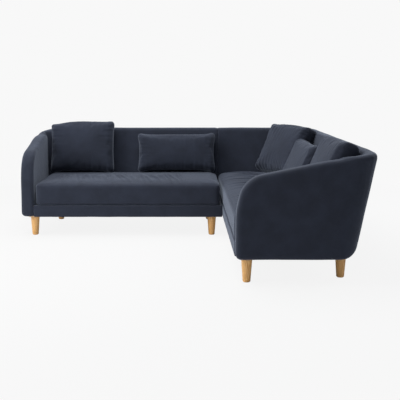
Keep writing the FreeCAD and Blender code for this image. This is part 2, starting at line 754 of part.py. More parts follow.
def deck_and_covers(wing, joint_end, inner_end):
    """Deck pad on the webbing, front border and the cloth under the base."""
    name = wing.name
    deck_rear = "(%s + (deck_height - deck_pad_thickness - leg_height) * tan(back_lean) - 1)"
    reach = ("(border_thickness + rail_thickness)", deck_rear % INNER_FOOT)
    if wing is LEFT:
        along = ("arm_thickness", "(%s + rail_thickness)" % inner_end)
    else:
        along = ("arm_thickness", deck_rear % ("(%s - back_thickness)" % RIGHT_END))
    top = ("(deck_height - deck_pad_thickness)", "deck_height")
    deck = node(wing.box(name + "_deck_pad", reach, along, top))
    border_end = joint_end
    if wing is RIGHT:
        border_end = "(%s - back_thickness)" % RIGHT_END
    label = name + ("_front_border" if wing is LEFT else "_border_form")
    body, sketch = wing.sketch_body(label, "arm_thickness", border_profile)
    pad = wing.pad(body, sketch, "%s - arm_thickness" % border_end)
    names = []
    for index, shape_edge in enumerate(pad.Shape.Edges, start=1):
        box = shape_edge.BoundBox
        across = (box.XMin, box.XMax) if wing.reach_is_x else (box.YMin, box.YMax)
        if max(abs(across[0]), abs(across[1])) < 1e-4 and box.ZLength < 1e-4:
            names.append("Edge%d" % index)
    fillet = body.newObject("PartDesign::Fillet", name + "_border_edges")
    fillet.Base = (pad, names)
    fillet.setExpression("Radius", ex("border_radius"))
    body.Tip = fillet
    if wing is RIGHT:
        body = cut(name + "_front_border", body, [hooks])
    node(body)
    cover = wing.box(name + "_dust_cover_blank", ("border_thickness", SOLE_FRONT),
                     (PANEL_IN, "(%s + rail_thickness)" % inner_end),
                     ("leg_height", RAIL_BOTTOM))
    holes = []
    for label, leg_reach, leg_along in leg_places(wing):
        if leg_reach == "leg_rear_reach":
            continue
        hole = cylinder(label + "_cover_hole", "leg_top_diameter", "dust_cover_thickness")
        wing.place(hole, leg_reach, leg_along, "leg_height")
        holes.append(hole)
    return [deck, node(cut(name + "_dust_cover", cover, holes))]


def back_frame(wing, end):
    """Sole, leaning posts and top rail inside the back; the corner module has two backs."""
    name = wing.name
    post_front = "(%s + (back_thickness - post_thickness) / 2" % INNER_FOOT
    post_low = SOLE_TOP
    rail_high = "(back_height - top_rail_cover)"
    rail_low = "(%s - top_rail_height)" % rail_high
    low_front = post_front + " + (%s - leg_height) * tan(back_lean))" % post_low
    high_front = post_front + " + (%s - leg_height) * tan(back_lean))" % rail_low
    stop = end if wing is LEFT else "(total_depth - wing_depth + %s)" % INNER_FOOT
    parts = []
    sole_stop = stop
    if wing is RIGHT:
        sole_stop = "(total_depth - wing_depth + %s + corner_block_size)" % SOLE_FRONT
    sole = [wing.box(name + "_long_sole", (SOLE_FRONT, SOLE_REAR),
                     ("(leg_rear_arm_inset - block_size / 2)", sole_stop),
                     (BLOCK_TOP, SOLE_TOP))]
    rail_start = "(corner_radius + 10)"
    body, sketch = wing.sketch_body(name + "_long_top_rail", rail_start,
                                    leaning_profile(rail_low, rail_high, high_front,
                                                    "post_thickness"))
    wing.pad(body, sketch, "%s - %s" % (stop, rail_start))
    rails = [body]
    posts = []
    count = 4 if wing is LEFT else 5
    for k in range(count):
        along = "(%s + (%s - post_width - %s) * %d / %d)" % (rail_start, stop, rail_start, k,
                                                            count - 1)
        body, sketch = wing.sketch_body("%s_long_post_%d" % (name, k + 1), along,
                                        leaning_profile(post_low, rail_low, low_front,
                                                        "post_thickness"))
        wing.pad(body, sketch, "post_width")
        posts.append(body)
    if wing is RIGHT:
        short = Wing("short", RIGHT.origin_x, "(total_depth / 2 - wing_depth)", False)
        inner = "(%s - 20)" % CORNER_REACH
        sole.append(short.box(name + "_short_sole", (SOLE_FRONT, SOLE_REAR),
                              ("border_thickness", SOLE_FRONT), (BLOCK_TOP, SOLE_TOP)))
        body, sketch = short.sketch_body(name + "_short_top_rail", "border_thickness",
                                         leaning_profile(rail_low, rail_high, high_front,
                                                         "post_thickness"))
        short.pad(body, sketch, "%s - border_thickness" % inner)
        rails.append(body)
        for k in range(2):
            along = "(border_thickness + (%s - post_width - border_thickness) * %d)" % (inner, k)
            body, sketch = short.sketch_body("%s_short_post_%d" % (name, k + 1), along,
                                             leaning_profile(post_low, rail_low, low_front,
                                                             "post_thickness"))
            short.pad(body, sketch, "post_width")
            posts.append(body)
    parts.append(compound(name + "_back_soles", sole))
    parts.append(compound(name + "_back_top_rails", rails))
    parts.append(compound(name + "_back_posts", posts))
    return parts


# Loose cushions

def outline(place, left, right, low, high, corner, bow):
    """Closed outline of a cushion layer: four bowed sides and four round corners.

    A negative bow draws the sides in between the corners, a positive one lets them out.
    """
    def arc(*points):
        return Part.Arc(*[place(a, b) for a, b in points]).toShape()

    diagonal = corner * (1 - math.sqrt(0.5))
    mid_a, mid_b = (left + right) / 2, (low + high) / 2
    edges = [
        arc((left + corner, low), (mid_a, low - bow), (right - corner, low)),
        arc((right - corner, low), (right - diagonal, low + diagonal), (right, low + corner)),
        arc((right, low + corner), (right + bow, mid_b), (right, high - corner)),
        arc((right, high - corner), (right - diagonal, high - diagonal),
            (right - corner, high)),
        arc((right - corner, high), (mid_a, high + bow), (left + corner, high)),
        arc((left + corner, high), (left + diagonal, high - diagonal), (left, high - corner)),
        arc((left, high - corner), (left - bow, mid_b), (left, low + corner)),
        arc((left, low + corner), (left + diagonal, low + diagonal), (left + corner, low)),
    ]
    return Part.Wire(edges)


def without_short_edges(shape):
    """The same solid without the edges of no length that a cut leaves at a tangent point."""
    fixer = Part.ShapeFix.Wireframe(shape)
    fixer.Precision = 0.01
    fixer.MaxTolerance = 0.05
    fixer.ModeDropSmallEdges = True
    fixer.fixSmallEdges()
    fixer.fixWireGaps()
    return fixer.shape()


# A cushion's sections are drawn this much wider than its plan, so that no faces coincide
SECTION_MARGIN = 2.5


def edge_arcs(start, sign, top, radius, rise, run):
    """One upper edge of a seat cushion: a round edge that runs into a shallow crown.

    Returns the places (across, height) of the edge arc and of the crown arc; both arcs meet
    in one tangent, and the crown arc ends level.
    """
    slope = 2 * math.atan(rise / run)
    crown_r = run / math.sin(slope)
    turn = math.pi / 2 - slope
    centre_h = top - rise - radius * math.sin(turn)

    def edge_point(angle):
        return (start + sign * radius * (1 - math.cos(angle)),
                centre_h + radius * math.sin(angle))

    meet = edge_point(turn)

    def crown_point(angle):
        return (meet[0] + sign * (run - crown_r * math.sin(angle)),
                top - crown_r * (1 - math.cos(angle)))

    return ([edge_point(0), edge_point(turn / 2), meet],
            [meet, crown_point(slope / 2), crown_point(0)])


def padded_section(place, first, last, bottom, top, first_edge, last_edge):
    """A seat cushion's section: rounded lower edges, two upper edges, a level top."""
    foot = num("seat_foot_radius")
    half = foot * (1 - math.sqrt(0.5))

    def arc(points):
        return Part.Arc(*[place(*p) for p in points]).toShape()

    def line(start, end):
        return Part.LineSegment(place(*start), place(*end)).toShape()

    near_edge, near_crown = edge_arcs(first, 1, top, *first_edge)
    far_edge, far_crown = edge_arcs(last, -1, top, *last_edge)
    near_foot = [(first, bottom + foot), (first + half, bottom + half), (first + foot, bottom)]
    far_foot = [(last - foot, bottom), (last - half, bottom + half), (last, bottom + foot)]
    return Part.Face(Part.Wire([
        arc(near_foot), line(near_foot[2], far_foot[0]), arc(far_foot),
        line(far_foot[2], far_edge[0]), arc(far_edge), arc(far_crown),
        line(far_crown[2], near_crown[2]), arc(near_crown[::-1]), arc(near_edge[::-1]),
        line(near_edge[0], near_foot[0])]))


def seat_cushion(wing, along_end, label):
    """A box cushion: what its two sections and its drawn-in plan have in common."""
    front = -num("seat_front_bulge")
    rise = num("deck_height - leg_height") * lean_slope
    rear = num(INNER_FOOT) + rise - num("seat_back_gap")
    start, end = num("arm_thickness + seat_side_gap"), num(along_end)
    bottom = num("deck_height + contact_gap")
    top = bottom + num("seat_thickness")
    crown, reach = num("seat_crown"), num("seat_crown_reach")
    front_edge = (num("seat_edge_radius"), crown, reach)
    end_edge = (num("seat_side_radius"), crown * 0.7, reach * 0.6)
    rear_edge = (num("seat_rear_radius"), crown * 0.3, reach * 0.2)

    def across(a, h):
        return wing.point(a, start, h)

    def lengthwise(a, h):
        return wing.point(front, a, h)

    def plan(a, b):
        return wing.point(b, a, bottom)

    far_edge = end_edge if wing is LEFT else rear_edge
    one = padded_section(across, front - SECTION_MARGIN, rear + SECTION_MARGIN, bottom, top,
                         front_edge, rear_edge)
    two = padded_section(lengthwise, start - SECTION_MARGIN, end + SECTION_MARGIN, bottom, top,
                         end_edge, far_edge)
    three = Part.Face(outline(plan, start, end, front, rear, num("seat_corner_radius"),
                              -num("seat_draw_in")))
    origin = wing.point(0, 0, 0)
    solids = [one.extrude(wing.point(0, end - start, 0) - origin),
              two.extrude(wing.point(rear - front, 0, 0) - origin),
              three.extrude(Vector(0, 0, top - bottom))]
    cushion = solids[0].common(solids[1]).common(solids[2])
    return shaped(label, solid_of(without_short_edges(cushion)))


def arch(place, half_span, half_seam, crown, shoulder):
    """A scatter cushion's section: both faces are three-centred arches over the seam."""
    level = crown - half_seam
    reach = half_span - shoulder
    big = ((reach ** 2 + level ** 2 - shoulder ** 2) / (2 * (level - shoulder)))
    centre = crown - big
    angle = math.atan2(half_seam - centre, reach)
    meet = (big * math.cos(angle), centre + big * math.sin(angle))
    middle = (reach + shoulder * math.cos(angle / 2), half_seam + shoulder * math.sin(angle / 2))
    edges = []
    for sign in (1, -1):
        corners = [(sign * half_span, sign * half_seam), (sign * middle[0], sign * middle[1]),
                   (sign * meet[0], sign * meet[1]), (0, sign * crown),
                   (-sign * meet[0], sign * meet[1]), (-sign * middle[0], sign * middle[1]),
                   (-sign * half_span, sign * half_seam),
                   (-sign * half_span, -sign * half_seam)]
        points = [place(*corner) for corner in corners]
        for k in (0, 2, 4):
            edges.append(Part.Arc(*points[k:k + 3]).toShape())
        edges.append(Part.LineSegment(points[6], points[7]).toShape())
    return Part.Face(Part.Wire(edges))


def pillow(width, height, thickness):
    """A knife-edge cushion: two crossing arches, trimmed to an outline with drawn-in sides."""
    seam = num("cushion_seam") / 2
    shoulder = num("cushion_shoulder")
    over = num("cushion_seam")
    crown = thickness / 2

    def upright(a, c):
        return Vector(a, -height, c)

    def level(b, c):
        return Vector(-width, b, c)

    def plan(a, b):
        return Vector(a, b, -thickness)

    one = arch(upright, width / 2 + over, seam, crown, shoulder)
    two = arch(level, height / 2 + over, seam, crown, shoulder)
    three = Part.Face(outline(plan, -width / 2, width / 2, -height / 2, height / 2,
                              num("cushion_corner_radius"), -num("cushion_draw_in")))
    solid = one.extrude(Vector(0, 2 * height, 0)).common(two.extrude(Vector(2 * width, 0, 0)))
    return solid_of(solid.common(three.extrude(Vector(0, 0, 2 * thickness))))


def scatter(label, wing, width, height, thickness, along, turn=0, forward=0):
    """A scatter cushion that leans on the back and stands on the seat's flat crown."""
    t = num(thickness)
    shape = pillow(num(width), num(height), t)
    up = Vector(math.sin(lean), 0, math.cos(lean))
    facing = Vector(-math.cos(lean), 0, math.sin(lean))
    if not wing.reach_is_x:
        up = Vector(0, up.x, up.z)
        facing = Vector(0, facing.x, facing.z)
    side = up.cross(facing)
    matrix = FreeCAD.Matrix(side.x, up.x, facing.x, 0, side.y, up.y, facing.y, 0,
                            side.z, up.z, facing.z, 0, 0, 0, 0, 1)
    placement = FreeCAD.Placement(matrix)
    spin = FreeCAD.Placement(Vector(), FreeCAD.Rotation(Vector(0, 0, 1), turn))
    placement = spin.multiply(placement)
    lowest = shape.transformed(placement.toMatrix(), True).optimalBoundingBox(False).ZMin
    centre_z = num(SEAT_TOP + " + contact_gap") - lowest
    inner = num(INNER_FOOT) + (centre_z - z_base) * lean_slope
    room = (t / 2 + num("contact_gap")) / math.cos(lean)
    base = wing.point(inner - room - forward, along, centre_z)
    obj = shaped(label, shape)
    obj.Placement = FreeCAD.Placement(base, placement.Rotation)
    return obj


# Sectional connectors at the module joint

def connectors():
    """A socket plate on the left end rail and a hook on the right module's front rail.

    The hook is a wide tongue behind the socket's two lips, joined to its own plate by a
    narrow neck; lifting the right module draws it out upwards.
    """
    joint = "(total_width / 2 - wing_depth)"
    sockets, hooks = [], []
    t = "plate_thickness"
    floor = "(%s + 12)" % RAIL_BOTTOM
    for k, place in enumerate(("(total_depth / 2 - wing_depth + 190)",
                               "(total_depth / 2 - wing_depth + 520)")):
        face = "(%s - module_gap - 8)" % joint
        rear = "(%s + border_thickness)" % joint
        half = "(hook_width / 2 + hook_clearance)"
        lip = "(%s + %s + plate_thickness + 2 * hook_clearance)" % (face, t)

        def block(name, x, y, z):
            obj = doc.addObject("Part::Box", "%s_%d" % (name, k + 1))
            obj.setExpression("Length", ex("%s - %s" % (x[1], x[0])))
            obj.setExpression("Width", ex("%s - %s" % (y[1], y[0])))
            obj.setExpression("Height", ex("%s - %s" % (z[1], z[0])))
            obj.setExpression("Placement.Base.x", ex(x[0]))
            obj.setExpression("Placement.Base.y", ex(y[0]))
            obj.setExpression("Placement.Base.z", ex(z[0]))
            return obj

        tall = (floor, "(%s + hook_height + 4)" % floor)
        plate = block("socket_plate", (face, "(%s + %s)" % (face, t)),
                      ("(%s - %s - %s)" % (place, half, t), "(%s + %s + %s)" % (place, half, t)),
                      tall)
        walls = []
        for side, sign in (("near", "-"), ("far", "+")):
            edge_low = "(%s %s %s)" % (place, sign, half)
            edge_high = "(%s %s %s %s %s)" % (place, sign, half, sign, t)
            pair = (edge_high, edge_low) if sign == "-" else (edge_low, edge_high)
            walls.append(block("socket_wall_" + side, ("(%s + %s)" % (face, t),
                                                       "(%s + %s)" % (lip, t)), pair, tall))
            slot = "(%s %s (hook_neck_width / 2 + 2))" % (place, sign)
            pair = (edge_low, slot) if sign == "-" else (slot, edge_low)
            walls.append(block("socket_lip_" + side, (lip, "(%s + %s)" % (lip, t)), pair, tall))
        shelf = block("socket_shelf", ("(%s + %s)" % (face, t), lip),
                      ("(%s - %s)" % (place, half), "(%s + %s)" % (place, half)),
                      (floor, "(%s + %s)" % (floor, t)))
        socket = doc.addObject("Part::MultiFuse", "socket_%d" % (k + 1))
        socket.Shapes = [plate, shelf] + walls
        sockets.append(socket)
        seat = "(%s + %s + contact_gap)" % (floor, t)
        high = "(%s + hook_height)" % floor
        tongue_x = "(%s + %s + hook_clearance)" % (face, t)
        tongue = block("hook_tongue", (tongue_x, "(%s + %s)" % (tongue_x, t)),
                       ("(%s - hook_width / 2)" % place, "(%s + hook_width / 2)" % place),
                       (seat, high))
        neck = block("hook_neck", ("(%s + %s)" % (tongue_x, t), "(%s - %s)" % (rear, t)),
                     ("(%s - hook_neck_width / 2)" % place,
                      "(%s + hook_neck_width / 2)" % place), (seat, high))
        pad = block("hook_plate", ("(%s - %s)" % (rear, t), rear),
                    ("(%s - hook_width / 2)" % place, "(%s + hook_width / 2)" % place),
                    (seat, high))
        hook = doc.addObject("Part::MultiFuse", "hook_%d" % (k + 1))
        hook.Shapes = [tongue, neck, pad]
        hooks.append(hook)
    return compound("left_connector_sockets", sockets), compound("right_connector_hooks", hooks)


def build_module(wing, joint_end):
    """Frame, deck, legs and padding of one module."""
    rails, end, inner_end = frame_parts(wing)
    panel = arm_panel(wing)
    posts = back_frame(wing, end)
    legs, blocks = legs_and_blocks(wing)
    webbing(wing, end, inner_end)
    doc.recompute()
    covers = deck_and_covers(wing, joint_end, inner_end)
    form = arm_form(wing)
    doc.recompute()
    frame = rails + [panel, blocks] + posts + legs + covers
    name = wing.name
    arm = form.Shape.copy()
    shaped(name + "_arm_upholstery", without(arm, frame))
    radius = num("corner_radius")
    stretches = [arm_corner(wing)]
    if wing is LEFT:
        stretches.append(back_wall(wing, radius, num(LEFT_END)))
    else:
        stretches.append(back_wall(wing, radius, num("%s - corner_radius" % RIGHT_END)))
        stretches += [rear_corner(wing), short_back(wing)]
    wall = stretches[0].fuse(stretches[1:])
    shaped(name + "_back_upholstery", without(wall, frame))


sockets, hooks = connectors()
build_module(LEFT, LEFT_END)
build_module(RIGHT, RIGHT_END)

seat_end = "(total_depth - wing_depth + %s + (deck_height - leg_height) * tan(back_lean)" \
           " - seat_back_gap)" % INNER_FOOT
seat_cushion(LEFT, "%s - seat_joint_gap" % LEFT_END, "left_seat_cushion")
seat_cushion(RIGHT, seat_end, "right_seat_cushion")

beside_arm = num("arm_thickness + square_arm_gap + square_width / 2")
scatter("left_square_cushion", LEFT, "square_width", "square_height", "square_thickness",
        beside_arm)
scatter("left_lumbar_cushion", LEFT, "lumbar_width", "lumbar_height", "lumbar_thickness",
        num("%s - lumbar_joint_gap - lumbar_width / 2" % LEFT_END))
scatter("right_square_cushion", RIGHT, "square_width", "square_height", "square_thickness",
        beside_arm)
scatter("right_lumbar_cushion", RIGHT, "lumbar_width", "lumbar_height", "lumbar_thickness",
        num("right_lumbar_along"))
turned = math.radians(num("corner_cushion_turn"))
scatter("corner_square_cushion", RIGHT, "square_width", "square_height", "square_thickness",
        num("corner_cushion_along"), turn=-num("corner_cushion_turn"),
        forward=num("square_width") / 2 * math.sin(turned))

doc.recompute()

for obj in doc.Objects:
    if "Invalid" in obj.State or "Error" in obj.State:
        raise RuntimeError("%s failed: %s" % (obj.Label, obj.State))

os.makedirs("parts", exist_ok=True)
for obj in nodes:
    shape = obj.Shape
    if shape.isNull() or not shape.isValid():
        raise RuntimeError(obj.Label + " has no valid shape")
for obj in nodes:
    obj.Shape.exportStep("parts/%s.step" % obj.Label)

whole = FreeCAD.BoundBox()
for obj in nodes:
    whole.add(obj.Shape.BoundBox)
print("nodes", len(nodes))
print("box X %.1f %.1f  Y %.1f %.1f  Z %.1f %.1f" % (whole.XMin, whole.XMax, whole.YMin,
                                                    whole.YMax, whole.ZMin, whole.ZMax))
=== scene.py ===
import json
import math

import bmesh
import bpy
import numpy as np
from bpy.props import FloatProperty, IntProperty, StringProperty
from mathutils import Matrix, Vector, noise
from mathutils.bvhtree import BVHTree


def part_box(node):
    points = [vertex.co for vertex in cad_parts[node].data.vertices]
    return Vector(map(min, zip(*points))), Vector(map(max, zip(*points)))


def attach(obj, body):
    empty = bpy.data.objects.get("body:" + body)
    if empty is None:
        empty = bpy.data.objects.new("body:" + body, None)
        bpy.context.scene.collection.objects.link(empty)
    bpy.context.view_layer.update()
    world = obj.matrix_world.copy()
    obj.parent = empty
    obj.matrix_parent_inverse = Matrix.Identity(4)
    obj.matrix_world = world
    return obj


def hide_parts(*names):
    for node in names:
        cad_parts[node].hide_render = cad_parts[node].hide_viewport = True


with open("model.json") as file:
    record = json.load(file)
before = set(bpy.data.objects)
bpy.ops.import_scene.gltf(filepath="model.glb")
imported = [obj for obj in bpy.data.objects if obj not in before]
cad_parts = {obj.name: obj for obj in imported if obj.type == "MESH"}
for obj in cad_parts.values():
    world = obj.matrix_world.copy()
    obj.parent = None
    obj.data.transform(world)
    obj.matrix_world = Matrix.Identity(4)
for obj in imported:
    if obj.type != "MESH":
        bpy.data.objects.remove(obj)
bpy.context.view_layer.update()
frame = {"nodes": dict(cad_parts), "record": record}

bl_info = {
    "name": "Corner sofa",
    "version": (1, 0, 0),
    "blender": (4, 5, 0),
    "location": "3D View > Sidebar > Sofa",
    "description": "Dresses the corner sofa's frame in velvet, cushions and oak",
    "category": "Object",
}

# Seats of the left wing face -Y, those of the right wing -X
LEFT_FACING = Vector((0, -1, 0))
RIGHT_FACING = Vector((-1, 0, 0))

# Each module's cover, the body that it rides on and the nodes that it stands for
SHELLS = {
    "left_upholstery": ("left_module", ("left_arm_upholstery", "left_back_upholstery")),
    "right_upholstery": ("right_module", ("right_arm_upholstery", "right_back_upholstery")),
}

# Frame parts that fill the padding's hollows before it is meshed again
FILLINGS = (
    "arm_panel", "back_soles", "back_posts", "back_top_rails", "leg_blocks", "rear_rail",
    "front_rail", "end_rail", "deck_pad", "dust_cover",
)


# Sizes and colours

class SofaSettings(bpy.types.PropertyGroup):
    """Sizes and colours of the sofa's covers, cushions and stage"""

    velvet: StringProperty(
        name="Velvet", description="Colour of the velvet as hex", default="#2b303d")
    oak: StringProperty(name="Oak", description="Colour of the oak legs as hex",
                        default="#ecbb78")
    cover_voxel: FloatProperty(
        name="Cover mesh", description="Mesh size of the fixed covers", default=0.009,
        unit="LENGTH")
    cushion_voxel: FloatProperty(
        name="Cushion mesh", description="Mesh size of the seat cushions", default=0.014,
        unit="LENGTH")
    seat_swell: FloatProperty(
        name="Seat swell", description="Most that a seat cushion's cover moves when filled",
        default=0.010, unit="LENGTH")
    shoulder: FloatProperty(
        name="Shoulder", description="How far the padding falls away where arm and back meet",
        default=0.030, unit="LENGTH")
    crease: FloatProperty(
        name="Crease", description="Depth of the creases in the seat cushions' tops",
        default=0.013, unit="LENGTH")
    scatter_voxel: FloatProperty(
        name="Scatter mesh", description="Mesh size of the scatter cushions", default=0.010,
        unit="LENGTH")
    scatter_swell: FloatProperty(
        name="Scatter swell", description="Most that a scatter cushion's cover moves",
        default=0.014, unit="LENGTH")
    back_height: FloatProperty(
        name="Back height", description="Height of the back's crest above the floor",
        default=0.835, unit="LENGTH")
    pucker: FloatProperty(
        name="Pucker", description="Depth of the gathers beside a scatter cushion's seam",
        default=0.0055, unit="LENGTH")
    sim_frames: IntProperty(
        name="Filling frames", description="Frames over which a cushion is filled", default=22)
    camera_pitch: FloatProperty(
        name="Camera pitch", description="Camera's look downwards", default=0.1083,
        subtype="ANGLE")


def settings():
    return bpy.context.scene.sofa_settings


# Materials

def linear(hex_colour):
    """sRGB hex to a linear RGBA colour."""
    parts = [int(hex_colour[i:i + 2], 16) / 255 for i in (1, 3, 5)]
    flat = [c / 12.92 if c <= 0.04045 else ((c + 0.055) / 1.055) ** 2.4 for c in parts]
    return (*flat, 1.0)


def add(tree, kind, inputs=None, **props):
    """A shader node with its settings; an input that is a socket is linked, others are set."""
    node = tree.nodes.new("ShaderNode" + kind)
    for key, value in props.items():
        setattr(node, key, value)
    for key, value in (inputs or {}).items():
        if isinstance(value, bpy.types.NodeSocket):
            tree.links.new(value, node.inputs[key])
        else:
            node.inputs[key].default_value = value
    return node


def start_material(name, finish):
    """A new material: returns it, its node tree, its shader and its object coordinates."""
    mat = bpy.data.materials.new(name)
    mat.use_nodes = True
    tree = mat.node_tree
    tree.nodes.clear()
    shader = add(tree, "BsdfPrincipled", finish)
    add(tree, "OutputMaterial", {"Surface": shader.outputs["BSDF"]})
    coords = add(tree, "TexCoord").outputs["Object"]
    return mat, tree, shader, coords


def ramp(tree, factor, low, high, colours):
    """A colour ramp between two places."""
    node = add(tree, "ValToRGB", {"Fac": factor})
    node.color_ramp.elements[0].position = low
    node.color_ramp.elements[1].position = high
    node.color_ramp.elements[0].color = colours[0]
    node.color_ramp.elements[1].color = colours[1]
    return node.outputs["Color"]


def velvet():
    """Cut-pile velvet: dark when looked into, pale along edges where the pile is side-on."""
    mat, tree, shader, coords = start_material("navy_cut_velvet", {
        "Roughness": 0.9, "Specular IOR Level": 0.25, "IOR": 1.45,
        "Sheen Weight": 0.5, "Sheen Roughness": 0.45, "Sheen Tint": linear("#a9b3c4"),
    })
    base = linear(settings().velvet)
    deep = linear("#252934")
    # Patches where the pile has been brushed one way or the other, about 120 mm across
    brushed = add(tree, "TexNoise", {"Vector": coords, "Scale": 8.0, "Detail": 3.0,
                                     "Roughness": 0.55}).outputs["Fac"]
    tone = ramp(tree, brushed, 0.36, 0.66, (deep, base))
    # Pile tufts are 0.2 mm; drawn at 2.5 mm so that they show as a soft grain
    pile = add(tree, "TexNoise", {"Vector": coords, "Scale": 400.0, "Detail": 2.0}).outputs["Fac"]
    grain = add(tree, "Mix", {0: 0.25, 6: tone, 7: ramp(tree, pile, 0.3, 0.75, (deep, base))},
                data_type="RGBA")
    tree.links.new(grain.outputs[2], shader.inputs["Base Color"])
    tufts = add(tree, "Bump", {"Strength": 0.35, "Distance": 0.0015, "Height": pile})
    # Soft hand marks, 30 to 60 mm wide
    marks = add(tree, "TexNoise", {"Vector": coords, "Scale": 22.0, "Detail": 2.0,
                                   "Roughness": 0.5}).outputs["Fac"]
    soft = add(tree, "Bump", {"Strength": 0.5, "Distance": 0.004, "Height": marks,
                              "Normal": tufts.outputs["Normal"]})
    tree.links.new(soft.outputs["Normal"], shader.inputs["Normal"])
    return mat


# Fine grain lines from one growth ring to the next
GRAINS_PER_RING = 6


def wood(name, light, dark, grain_mm, finish):
    """Sawn wood: fibres along the stretched axis, rings and short pores across it."""
    mat, tree, shader, coords = start_material(name, finish)
    rings = 1000 / grain_mm / GRAINS_PER_RING
    across = add(tree, "Mapping", {"Vector": coords, "Scale": (1.0, 1.0, 0.07)})
    wave = add(tree, "TexWave", {"Vector": across.outputs["Vector"], "Scale": rings,
                                 "Distortion": 5.0, "Detail": 2.5, "Detail Scale": 1.4},
               wave_type="RINGS", rings_direction="Z")
    fibres = add(tree, "TexNoise", {"Vector": across.outputs["Vector"], "Scale": rings * 9,
                                    "Detail": 4.0, "Roughness": 0.65})
    blend = add(tree, "Mix", {0: 0.45, 2: wave.outputs["Fac"], 3: fibres.outputs["Fac"]})
    tone = ramp(tree, blend.outputs[0], 0.25, 0.8, (linear(dark), linear(light)))
    tree.links.new(tone, shader.inputs["Base Color"])
    relief = add(tree, "Bump", {"Strength": 0.25, "Distance": 0.0004,
                                "Height": fibres.outputs["Fac"]})
    tree.links.new(relief.outputs["Normal"], shader.inputs["Normal"])
    return mat


def oiled_oak():
    """Oak with an oil finish: open pores and a low satin gloss."""
    return wood("oiled_oak", settings().oak, "#d9a05a", 3.0,
                {"Roughness": 0.42, "Coat Weight": 0.15, "Coat Roughness": 0.35})


def planed_beech():
    """Planed beech: close, even and matt."""
    return wood("planed_beech", "#d9b48a", "#c39a6e", 1.6, {"Roughness": 0.62})


def birch_plywood():
    """Sanded birch plywood: pale and broad-grained."""
    return wood("birch_plywood", "#dcc197", "#c9a878", 8.0, {"Roughness": 0.6})


def woven(name, light, dark, thread_mm, roughness):
    """A plain weave seen as a fine check of threads."""
    mat, tree, shader, coords = start_material(name, {"Roughness": roughness,
                                                      "Sheen Weight": 0.2})
    scale = 1000 / thread_mm / math.tau
    warp = add(tree, "TexWave", {"Vector": coords, "Scale": scale, "Distortion": 0.6},
               wave_type="BANDS", bands_direction="X")
    weft = add(tree, "TexWave", {"Vector": coords, "Scale": scale, "Distortion": 0.6},
               wave_type="BANDS", bands_direction="Y")
    cloth = add(tree, "Math", {0: warp.outputs["Fac"], 1: weft.outputs["Fac"]},
                operation="MULTIPLY")
    tone = ramp(tree, cloth.outputs[0], 0.1, 0.8, (linear(dark), linear(light)))
    tree.links.new(tone, shader.inputs["Base Color"])
    relief = add(tree, "Bump", {"Strength": 0.4, "Distance": 0.0005,
                                "Height": cloth.outputs[0]})
    tree.links.new(relief.outputs["Normal"], shader.inputs["Normal"])
    return mat


def felt(name, light, dark):
    """Pressed felt: short matted fibres with no direction."""
    mat, tree, shader, coords = start_material(name, {"Roughness": 0.95, "Sheen Weight": 0.3})
    fibres = add(tree, "TexNoise", {"Vector": coords, "Scale": 500.0, "Detail": 4.0,
                                    "Roughness": 0.7}).outputs["Fac"]
    tree.links.new(ramp(tree, fibres, 0.3, 0.7, (linear(dark), linear(light))),
                   shader.inputs["Base Color"])
    relief = add(tree, "Bump", {"Strength": 0.5, "Distance": 0.0006, "Height": fibres})
    tree.links.new(relief.outputs["Normal"], shader.inputs["Normal"])
    return mat


def zinc_steel():
    """Pressed steel with bright zinc plating, faintly mottled."""
    mat, tree, shader, coords = start_material("zinc_plated_steel", {
        "Metallic": 1.0, "Base Color": linear("#b9bab6")})
    bloom = add(tree, "TexNoise", {"Vector": coords, "Scale": 120.0, "Detail": 3.0})
    rough = add(tree, "MapRange", {"Value": bloom.outputs["Fac"], "To Min": 0.28, "To Max": 0.5})
    tree.links.new(rough.outputs["Result"], shader.inputs["Roughness"])
    return mat


MAKERS = {
    "navy_cut_velvet": velvet,
    "oiled_oak": oiled_oak,
    "planed_beech": planed_beech,
    "birch_plywood": birch_plywood,
    "elastic_webbing": lambda: woven("elastic_webbing", "#2b2b2f", "#151517", 2.0, 0.8),
    "black_lining": lambda: woven("black_lining", "#202024", "#101012", 1.5, 0.9),
    "deck_felt": lambda: felt("deck_felt", "#50505a", "#3a3a44"),
    "zinc_plated_steel": zinc_steel,
}


def paint(obj, name):
    """Gives an object one material, which is made when it is first wanted."""
    obj.data.materials.clear()
    obj.data.materials.append(bpy.data.materials.get(name) or MAKERS[name]())


# Mesh helpers

def new_object(name, mesh):
    obj = bpy.data.objects.new(name, mesh)
    bpy.context.scene.collection.objects.link(obj)
    return obj


MERGE_DISTANCE = 1e-5


def merged_copy(name, nodes):
    """The CAD nodes' faces as one mesh with their doubles merged."""
    mesh = bpy.data.meshes.new(name)
    bm = bmesh.new()
    for node in nodes:
        bm.from_mesh(frame["nodes"][node].data)
    bmesh.ops.remove_doubles(bm, verts=bm.verts, dist=MERGE_DISTANCE)
    bm.to_mesh(mesh)
    bm.free()
    return new_object(name, mesh)


def apply_modifiers(obj):
    """Bakes the modifiers into the mesh and removes them."""
    depsgraph = bpy.context.evaluated_depsgraph_get()
    mesh = bpy.data.meshes.new_from_object(obj.evaluated_get(depsgraph))
    obj.modifiers.clear()
    old = obj.data
    obj.data = mesh
    bpy.data.meshes.remove(old)


def remesh(obj, voxel):
    mod = obj.modifiers.new("Remesh", "REMESH")
    mod.mode = "VOXEL"
    mod.voxel_size = voxel
    mod.use_smooth_shade = True
    apply_modifiers(obj)


def relax(obj, times):
    """Draws each point half of the way to the middle of its neighbours, several times."""
    bm = bmesh.new()
    bm.from_mesh(obj.data)
    for _ in range(times):
        bmesh.ops.smooth_vert(bm, verts=bm.verts, factor=0.5, use_axis_x=True,
                              use_axis_y=True, use_axis_z=True)
    bm.to_mesh(obj.data)
    bm.free()


